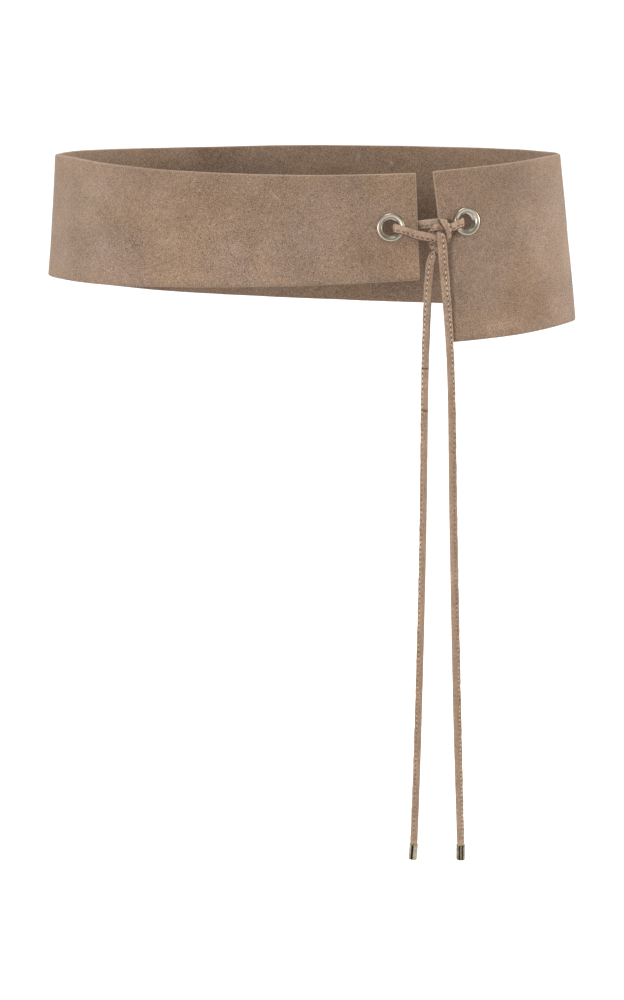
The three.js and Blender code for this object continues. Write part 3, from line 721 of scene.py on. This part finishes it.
def lace_mesh(name, path, stitch_row, pitches, slits, tuck_end, joins_and_shade, painted_shade):
    """The folded and sewn strip along its line. stitch_row tells how far the stitches lie from the middle,
    and slits how far each needle slit is drawn open. A tucked end is drawn in to the round of a metal tip. A
    join or crease has its place, slant, half length, depth and darkness: a glued join is dark with glue,
    while the dark of a crease, and of a band with no depth, is painted shade. An edge of painted shade has
    its first and last row, its side, its darkness and the width that is dark."""
    half = LACE_WIDTH / 2
    x = half * np.sin(np.linspace(-math.pi / 2, math.pi / 2, FACE_STEPS))
    # The front from the fold to the sewn edge, the valley between the two cut edges, and back behind
    loop_x = np.concatenate([x, [half - VALLEY_IN], x[::-1][:-1]])
    front = np.concatenate([np.ones(len(x)), [0], -np.ones(len(x) - 1)])
    count, steps = len(loop_x), len(path.run)
    row = np.interp(path.run / path.length, *np.array(stitch_row).T)[:, None]
    # The stitches lie towards +x or -x, and the cut edges are on that side
    sewn = 1 if row.mean() > 0 else -1
    xs = np.broadcast_to(loop_x, (steps, count))
    lip = np.clip((xs - abs(row)) / LIP_REACH, 0, 1)
    thinned = 1 - LIP_THIN * lip * lip * (3 - 2 * lip)
    puff = HALF_THICK * np.sqrt(np.clip(1 - np.abs(xs / half) ** LACE_FLATNESS, 0, 1)) * thinned
    puff = np.where(xs > 0.5 * half, np.maximum(puff, PLY_EDGE), puff)
    stitch = stitch_count(path, pitches)
    pull = 1 + NEEDLE_PULL * np.cos(2 * math.pi * stitch)[:, None]
    puff = puff - GROOVE_DEPTH * pull * np.exp(-(((xs - abs(row)) / GROOVE_HALF) ** 2))
    puff = puff * (1 + ripple(path.run, SWELL))[:, None]
    dark = np.zeros(xs.shape)
    # A glued join is dark with glue; the dark of a crease, and of a band with no depth, is painted shade
    for at, slant, half_length, depth, darkness in joins_and_shade:
        slant_mask = np.exp(-(((path.run[:, None] - at - slant * xs) / half_length) ** 2))
        puff = puff - depth * slant_mask
        dark = np.maximum(dark, darkness * slant_mask)
    # Painted shade along an edge, where strands nest in the knot and lie close over the suede
    for first, last, side, darkness, shade_width in painted_shade:
        held = np.clip(np.minimum(path.share - first, last - path.share) / PAINTED_SHADE_FADE, 0, 1)[:, None]
        dark = np.maximum(dark, darkness * held * np.exp(-(((side * half - xs) / shade_width) ** 2)))
    ys = front * np.maximum(puff, THINNEST)
    ys[:, 0] = 0
    xs = xs + ripple(path.run, STRAY)[:, None] * np.clip(xs / half, 0, 1)
    near = np.clip(1 - (path.length - path.run) / tuck_end, 0, 1)[:, None] if tuck_end else 0
    near = near * near * (3 - 2 * near)
    radius = np.maximum(np.hypot(xs / half, ys / HALF_THICK), TUCK_CORE)
    round_x, round_y = xs / half / radius * TUCK_WIDE, ys / HALF_THICK / radius * TUCK_THICK
    scale = (path.widths / LACE_WIDTH)[:, None]
    xs = xs * scale * (1 - near) + near * round_x
    ys = ys * (1 - near) + near * round_y
    points = path.points[:, None] + path.across[:, None] * (xs * sewn)[..., None]
    points = points + path.out[:, None] * ys[..., None]
    # Each end is closed by a strip of faces between its front and its back
    n = len(x)
    cap = [(j, j + 1, count - 1 - j, (count - j) % count) for j in range(1, n - 1)]
    cap = [(0, 1, count - 1)] + cap + [(n - 1, n, n + 1)]
    lace = tube_mesh(name, points, lace_suede, cap)
    for label, values in (
        ("row_mm", loop_x - abs(row)),
        ("stitch", stitch[:, None]),
        ("slit_mm", np.interp(path.run, STATIONS, slits)[:, None]),
        ("dark", dark),
        ("valley", front == 0),
        ("edge_mm", 2 * (half - loop_x)),
    ):
        mark_points(lace.data, label, np.broadcast_to(values, xs.shape))
    return lace


# The lace's suede is thinner than the belt's, with a finer nap and a paler dye
lace_suede, tree, shader = suede_material(
    "sewn_suede_lace",
    nap=0.3, cloud=16, sheen=0.15,
    root="#554234", warm="#b59880", cool="#b59c88", edge_fibre="#aa9482",
)
# Needle slits: at each end of a stitch a dark slanted slit is painted in the groove, the painted shade of the
# hole that the needle drew open
SLIT_HALF = 0.28
SLIT_SLANT = 0.25
marked = {
    label: add_node(tree, MARK, attribute_name=label)["Fac"]
    for label in ("row_mm", "stitch", "slit_mm", "dark", "valley")
}
phase = add_node(tree, SUM, {0: marked["stitch"], 1: 0.5, 2: -0.5}, operation="WRAP")[0]
slit_run = add_node(tree, SUM, {0: phase, 1: TIE_PITCHES[0]}, operation="MULTIPLY")[0]
slit_long = add_node(tree, SUM, {0: slit_run, 1: marked["slit_mm"]}, operation="DIVIDE")[0]
slanted = add_node(tree, SUM, {0: slit_run, 1: SLIT_SLANT, 2: marked["row_mm"]}, operation="MULTIPLY_ADD")
slit_wide = add_node(tree, SUM, {0: slanted[0], 1: SLIT_HALF}, operation="DIVIDE")[0]
slit_vector = add_node(tree, "ShaderNodeCombineXYZ", {"X": slit_wide, "Y": slit_long})[0]
slit_reach = add_node(tree, VECTOR_SUM, {0: slit_vector}, operation="LENGTH")["Value"]
slit_range = {"Value": slit_reach, "From Min": 0.6, "From Max": 1.25, "To Min": 0.9, "To Max": 0}
pit = add_node(tree, RANGE, slit_range)["Result"]
# Over the nap come the slits, each the painted shade in a needle hole, then dark glue at joins and painted
# shade in creases and along edges in and beside the knot, and then the valley between the two cut edges,
# painted dark as the shade in that recess
lace_colour = shader["Base Color"].links[0].from_socket
for share, over in ((pit, "#3d2b20"), (marked["dark"], "#3f2a20"), (marked["valley"], "#3a281e")):
    layer = {"Factor": share, BELOW: lace_colour, OVER: linear(over)}
    lace_colour = add_node(tree, MIX, layer, data_type="RGBA")[MIXED]
tree.links.new(lace_colour, shader["Base Color"])

tie_rows = (
    knot_rows(KNOT_LOOP)
    + rim_rows(left_seat, 1, LEFT_LACE_LIFT, LEFT_TIP_UP)[::-1]
    + rim_rows(right_seat, -1, RIGHT_LACE_LIFT, RIGHT_TIP_UP)
    + knot_rows(RIGHT_STRAND)
)
# How far the stitches lie from the lace's middle: a share of the piece's length, then millimetres
TIE_STITCH_ROW = ((0, 2.0), (0.11, 2.0), (0.17, 1.15), (0.3, 1.15), (0.5, 1.0), (0.85, 0.7), (1, 0.8))
LEFT_STITCH_ROW = (
    (0, 0.5), (0.03, 0.3), (0.11, 0.9), (0.17, 1.4), (0.27, 1.5), (0.37, 1.05),
    (0.4, 0.9), (0.53, 1.5), (0.68, 1.0), (0.8, 0.9), (0.975, 0.3),
)
RIGHT_STITCH_ROW = (
    (0, -0.9), (0.02, -0.7), (0.11, -0.6), (0.16, -1.0), (0.27, -1.3), (0.37, -1.1),
    (0.45, -0.6), (0.53, -0.65), (0.68, -1.2), (0.8, -1.15), (0.975, -1.4),
)
# The left tail is creased aslant where it turns down out of the knot, with painted shade in the crease and a
# broad band of painted shade over the stretch above it, and further down it has two glued joins, dark with
# glue
LEFT_JOINS_AND_SHADE = (
    # millimetres down the tail, slant, half length, depth, darkness
    (9.5, -0.7, 0.45, 0.45, 0.95),
    (5.0, -0.7, 2.2, 0.0, 0.4),
    (72.5, 0.0, 0.4, 0.3, 0.85),
    (95.2, 0.0, 0.4, 0.3, 0.85),
)
# Painted shade along edges in and beside the knot, where strands nest and lie close over one another and over
# the suede: first and last row, side (1 is the sewn edge), darkness, and the width that is dark
TIE_PAINTED_SHADE = (
    (2, 9, -1, 1, 0.65),
    (9, 18, 1, 0.9, 0.32),
    (27, 33.5, 1, 1, 0.5),
    (32, 37, 1, 0.9, 0.5),
    (31.5, 35, -1, 0.5, 0.32),
)
LEFT_PAINTED_SHADE = ((0, 6, -1, 0.9, 0.6), (0, 6, 1, 0.9, 0.6))
RIGHT_PAINTED_SHADE = ((2, 7, -1, 0.6, 0.32), (2, 7, 1, 0.8, 0.4))
tie_run = LaceRun(tie_rows)
left_run = LaceRun(knot_rows(RIGHT_STRAND[-1:] + LEFT_TAIL))
right_run = LaceRun(knot_rows(KNOT_LOOP[:1] + RIGHT_TAIL))
# How far each needle slit is drawn open along the row, at the stations
TIE_SLITS, TAIL_SLITS = (0.8, 0.8, 0.8, 0.8), (0.5, 0.5, 0.4, 0.4)
lace_tie = lace_mesh(
    "lace_knot_and_eyelet_run", tie_run, TIE_STITCH_ROW, TIE_PITCHES, TIE_SLITS, 0, (), TIE_PAINTED_SHADE
)
left_tail = lace_mesh(
    "lace_left_tail", left_run, LEFT_STITCH_ROW, LEFT_PITCHES, TAIL_SLITS, TUCK_END, LEFT_JOINS_AND_SHADE, LEFT_PAINTED_SHADE
)
right_tail = lace_mesh(
    "lace_right_tail", right_run, RIGHT_STITCH_ROW, RIGHT_PITCHES, TAIL_SLITS, TUCK_END, (), RIGHT_PAINTED_SHADE
)
# The stretch behind the gap is painted paler and greyer. Partly this is the lace's greyer flesh side, which
# faces the front there, and mostly it is painted light that lifts it out of the shade it lies in
PAINTED_LIGHT_ROW, PAINTED_LIGHT_REACH = 22.5, 2.5
PAINTED_LIGHT_TINT = (0.35, 0.45, 0.5)
painted_light_share = np.clip(2 - 2 * np.abs(tie_run.share - PAINTED_LIGHT_ROW) / PAINTED_LIGHT_REACH, 0, 1)
around = len(lace_tie.data.vertices) // len(painted_light_share)
mark_points(lace_tie.data, "stain_and_painted_light", np.repeat(painted_light_share[:, None] * PAINTED_LIGHT_TINT, around, axis=0))
for piece, node in ((lace_tie, "lace_tie"), (left_tail, "lace_tail_left"), (right_tail, "lace_tail_right")):
    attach(piece, "root")
    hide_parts(node)


# The stitching: one lockstitch row in cream polyester thread, 9 stitches to 25 mm, sewn through both layers
# of the lace. Each stitch shows as a short arch between two needle slits, on the front and on the back.
THREAD_RADIUS = 0.22
STITCH_LENGTH = 1.2
STITCH_RISE = 0.22
# Where the thread lies over the lace's middle, and how much deeper for each part that it is sunk
THREAD_SEAT = 0.7765
SUNK_THREAD = 0.16
# How far a stitch's ends dip, in radii of the thread, and how unevenly the stitches lie and are drawn up
DIPPED_ENDS = 1.6
SLANT_LOW, SLANT_HIGH = (0, 0, -0.10), (0, 0, 0.14)
SIZE_LOW, SIZE_HIGH = (0.9, 0.92, 0.9), (1.08, 1.1, 1.1)
THREAD_PLY = 0.4
# In stitches: how far in the first one's middle lies, and how far at least the last one's is from the end
FIRST_STITCH, LAST_STITCH = 0.5, 0.4

# Spun polyester: soft and a little silky, with lighter and darker plies
cream_thread, tree, shader = start_material("cream_polyester_thread", Roughness=0.6, Sheen_Weight=0.25)
where = add_node(tree, WHERE)["Object"]
plies = {"Vector": where, "Scale": 1 / (THREAD_PLY * MM), "Detail": 2}
ply = add_node(tree, NOISE, plies)["Fac"]
ply_mix = {"Factor": ply, BELOW: linear("#ad9878"), OVER: linear("#d3c3a5")}
ply_colour = add_node(tree, MIX, ply_mix, data_type="RGBA")[MIXED]
tree.links.new(ply_colour, shader["Base Color"])

# Geometry Nodes lay one arched stitch, in line with its row, on each point of rows of points
tree = bpy.data.node_groups.new("lockstitch_row", "GeometryNodeTree")
lockstitch_row = tree
for label, kind in (
    ("Rows", "Geometry"),
    ("Stitch Length", "Float"),
    ("Stitch Rise", "Float"),
    ("Thread Radius", "Float"),
    ("Seed", "Int"),
    ("Thread", "Material"),
):
    tree.interface.new_socket(label, in_out="INPUT", socket_type=f"NodeSocket{kind}")
tree.interface.new_socket("Stitching", in_out="OUTPUT", socket_type="NodeSocketGeometry")
given = add_node(tree, "NodeGroupInput")
half = add_node(tree, SUM, {0: given["Stitch Length"], 1: 0.5}, operation="MULTIPLY")[0]
back = add_node(tree, SUM, {0: half, 1: -1.0}, operation="MULTIPLY")[0]
sunk = add_node(tree, SUM, {0: given["Thread Radius"], 1: -DIPPED_ENDS}, operation="MULTIPLY")[0]
start = add_node(tree, "ShaderNodeCombineXYZ", {"X": back, "Z": sunk})[0]
middle = add_node(tree, "ShaderNodeCombineXYZ", {"Z": given["Stitch Rise"]})[0]
end = add_node(tree, "ShaderNodeCombineXYZ", {"X": half, "Z": sunk})[0]
bend = {"Resolution": 6, "Start": start, "Middle": middle, "End": end}
arch = add_node(tree, "GeometryNodeCurveQuadraticBezier", bend)[0]
thread_round = {"Resolution": 7, "Radius": given["Thread Radius"]}
round_thread = add_node(tree, "GeometryNodeCurvePrimitiveCircle", thread_round)[0]
swept = {"Curve": arch, "Profile Curve": round_thread, "Fill Caps": True}
stitch = add_node(tree, "GeometryNodeCurveToMesh", swept)[0]
rows = add_node(tree, "GeometryNodeMeshToCurve", {"Mesh": given["Rows"]})[0]
out = add_node(tree, "GeometryNodeInputNamedAttribute", {"Name": "out"}, data_type="FLOAT_VECTOR")[0]
tangent = add_node(tree, "GeometryNodeInputTangent")[0]
axes = {"Primary Axis": out, "Secondary Axis": tangent}
turn = add_node(tree, "FunctionNodeAxesToRotation", axes, primary_axis="Z", secondary_axis="X")[0]
uneven = []
for least, most in ((SLANT_LOW, SLANT_HIGH), (SIZE_LOW, SIZE_HIGH)):
    spread = {0: least, 1: most, "Seed": given["Seed"]}
    uneven.append(add_node(tree, "FunctionNodeRandomValue", spread, data_type="FLOAT_VECTOR")[0])
slanting = {"Rotation": turn, "Rotate By": uneven[0]}
turned = add_node(tree, "FunctionNodeRotateRotation", slanting, rotation_space="LOCAL")[0]
places = {"Points": rows, "Instance": stitch, "Rotation": turned, "Scale": uneven[1]}
laid = add_node(tree, "GeometryNodeInstanceOnPoints", places)[0]
real = add_node(tree, "GeometryNodeRealizeInstances", {"Geometry": laid})[0]
smooth = add_node(tree, "GeometryNodeSetShadeSmooth", {"Geometry": real})[0]
finish = {"Geometry": smooth, "Material": given["Thread"]}
dressed = add_node(tree, "GeometryNodeSetMaterial", finish)[0]
add_node(tree, "NodeGroupOutput", {"Stitching": dressed})

TIE_SUNK, TAIL_SUNK = (3.2, 3.2, 3.2, 3.2), (0.1, 0.3, 1.3, 0.7)
STITCHINGS = (
    # name, line, stitch row, stitch lengths, end hidden by a metal tip, how deep the thread is sunk, seed
    ("lace_knot_stitching", tie_run, TIE_STITCH_ROW, TIE_PITCHES, 0, TIE_SUNK, 11),
    ("lace_left_tail_stitching", left_run, LEFT_STITCH_ROW, LEFT_PITCHES, TUCK_END, TAIL_SUNK, 12),
    ("lace_right_tail_stitching", right_run, RIGHT_STITCH_ROW, RIGHT_PITCHES, TUCK_END, TAIL_SUNK, 13),
)
for name, path, stitch_row, pitches, hidden, sunk, seed in STITCHINGS:
    counts = stitch_count(path, pitches)
    last = np.interp(path.length - hidden, path.run, counts)
    run = np.interp(np.arange(FIRST_STITCH, last - LAST_STITCH), counts, path.run)
    middle_line, across, out = (
        np.stack([np.interp(run, path.run, values[:, k]) for k in range(3)], -1)
        for values in (path.points, path.across, path.out)
    )
    scale = np.interp(run, path.run, path.widths) / LACE_WIDTH
    row = np.interp(run / path.length, *np.array(stitch_row).T) * scale
    # The thread lies in the groove, and deeper in it where the lace was pulled hard
    lift = (THREAD_SEAT - SUNK_THREAD * np.interp(run, STATIONS, sunk))[:, None]
    # One row in front and one behind
    points = np.vstack([middle_line + across * row[:, None] + out * side * lift for side in (1, -1)])
    edges = [(k, k + 1) for k in range(len(points) - 1) if k + 1 != len(run)]
    mesh = bpy.data.meshes.new(name)
    mesh.from_pydata((points * MM).tolist(), edges, [])
    mark_points(mesh, "out", np.vstack([out, -out]))
    thing = add_object(name, mesh)
    laying = thing.modifiers.new("lockstitch", "NODES")
    laying.node_group = lockstitch_row
    values = {
        "Stitch Length": STITCH_LENGTH * MM,
        "Stitch Rise": STITCH_RISE * MM,
        "Thread Radius": THREAD_RADIUS * MM,
        "Seed": seed,
        "Thread": cream_thread,
    }
    for item in lockstitch_row.interface.items_tree:
        if item.name in values:
            laying[item.identifier] = values[item.name]
    settle(thing, laying)
    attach(thing, "root")


# The tips: short tubes of nickel-plated brass, rolled from sheet round the end of each tail and crimped on
# it. The left tube's rolled seam stands open in front. The right tube is pressed in along two lines. Both are
# tarnished by handling, the right one more.
# The tube's mouth goes this far over the end of the lace
AGLET_SLIP = 0.35
AGLET_SIDES = 120
AGLET_BORE = 2.12
# A seam is this deep, slopes over this many degrees, and fades in over this much of the wall
SEAM_DEPTH, SEAM_SLOPE, SEAM_WALL = 0.28, 4, 0.2
AGLET_PROFILE = (
    # radius, height along the tube from its mouth: the bore's closed end and the mouth's lip
    (0.02, 1.0), (2.08, 0.95), (2.12, 0.12), (2.2, 0.02), (2.31, 0.02), (2.4, 0.12), (2.42, 0.3),
    # the wall, with the crimped ring near the mouth
    (2.42, 1.2), (2.39, 1.6), (2.39, 1.9), (2.42, 2.3), (2.42, 4.5), (2.42, 6.6), (2.42, 8.2),
    # the lip at the tip, and the hollow's end
    (2.4, 8.4), (2.31, 8.56), (2.2, 8.58), (2.12, 8.48), (2.08, 8.0), (0.02, 7.95),
)
# Tarnish lies in soft spots of about a millimetre. The seams and pressed lines are painted dark: a painted
# reflection of dark surroundings and painted shade in the groove, and at the left tube's open seam also the
# suede inside.
# What is clean between them still shines a warm grey.
TARNISH_SPOT, TARNISH_CONTRAST = 1.0, 2.4
tarnished_nickel, tree, shader = start_material("tarnished_nickel_tip", Metallic=1)
where = add_node(tree, WHERE)["Object"]
spotted = {"Vector": where, "Scale": 1 / (TARNISH_SPOT * MM), "Detail": 3}
spots = add_node(tree, NOISE, spotted)["Fac"]
tarnish_mark = add_node(tree, MARK, attribute_name="tarnish")["Fac"]
seam_mark = add_node(tree, MARK, attribute_name="seam")["Fac"]
contrast = {0: spots, 1: TARNISH_CONTRAST, 2: -TARNISH_CONTRAST / 2}
blotches = add_node(tree, SUM, contrast, operation="MULTIPLY_ADD")[0]
tarnished = add_node(tree, SUM, {0: blotches, 1: tarnish_mark}, operation="ADD")[0]
tip_colour = linear("#8d8474")
# Over the nickel come the tarnish, then the seams' painted reflection and shade
for share, over in ((tarnished, "#554e3d"), (seam_mark, "#241b12")):
    layer = {"Factor": share, BELOW: tip_colour, OVER: linear(over)}
    tip_colour = add_node(tree, MIX, layer, data_type="RGBA")[MIXED]
tree.links.new(tip_colour, shader["Base Color"])
tip_gloss = add_node(tree, RANGE, {"Value": seam_mark, "To Min": 0.26, "To Max": 0.7})
tree.links.new(tip_gloss["Result"], shader["Roughness"])

TIPS = (
    # side, the tail's rows, lean to the right, how tarnished, and for each seam or pressed line its angle
    # from the front to the right and half its width, in degrees
    ("left", LEFT_TAIL, -0.045, 0.15, ((-20, 19),)),
    ("right", RIGHT_TAIL, -0.03, 0.7, ((-20, 12), (22, 12))),
)
for side, table, lean, tarnish_share, seams in TIPS:
    # Each tube is in line with the last stretch of its tail, or leans a little to the side
    before, tip = (row[0] for row in knot_rows(table[-2:]))
    along = (tip - before) / np.linalg.norm(tip - before) + (lean, 0, 0)
    along /= np.linalg.norm(along)
    front = np.array((0, -1, 0)) + along[1] * along
    front /= np.linalg.norm(front)
    right = np.cross(along, front)
    right *= np.sign(right[0])
    radius, height = np.array(AGLET_PROFILE).T
    angle = 360 * np.arange(AGLET_SIDES) / AGLET_SIDES
    seam = np.zeros(AGLET_SIDES)
    for place, half_width in seams:
        away = np.abs((angle - place + 180) % 360 - 180)
        seam = np.maximum(seam, np.clip((half_width - away) / SEAM_SLOPE, 0, 1))
    # Only the outer wall is pressed in, not the bore
    wall = np.clip((radius - AGLET_BORE) / SEAM_WALL, 0, 1)
    pressed = seam[:, None] * wall
    radii = radius - SEAM_DEPTH * pressed
    turn = np.radians(angle)[:, None, None]
    spoke = front * np.cos(turn) + right * np.sin(turn)
    points = tip + along * (height[:, None] - AGLET_SLIP) + spoke * radii[..., None]
    tube = tube_mesh(f"nickel_tip_{side}", points, tarnished_nickel)
    mark_points(tube.data, "seam", pressed)
    mark_points(tube.data, "tarnish", np.full(radii.shape, tarnish_share))
    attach(tube, "root")
    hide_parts(f"aglet_{side}")
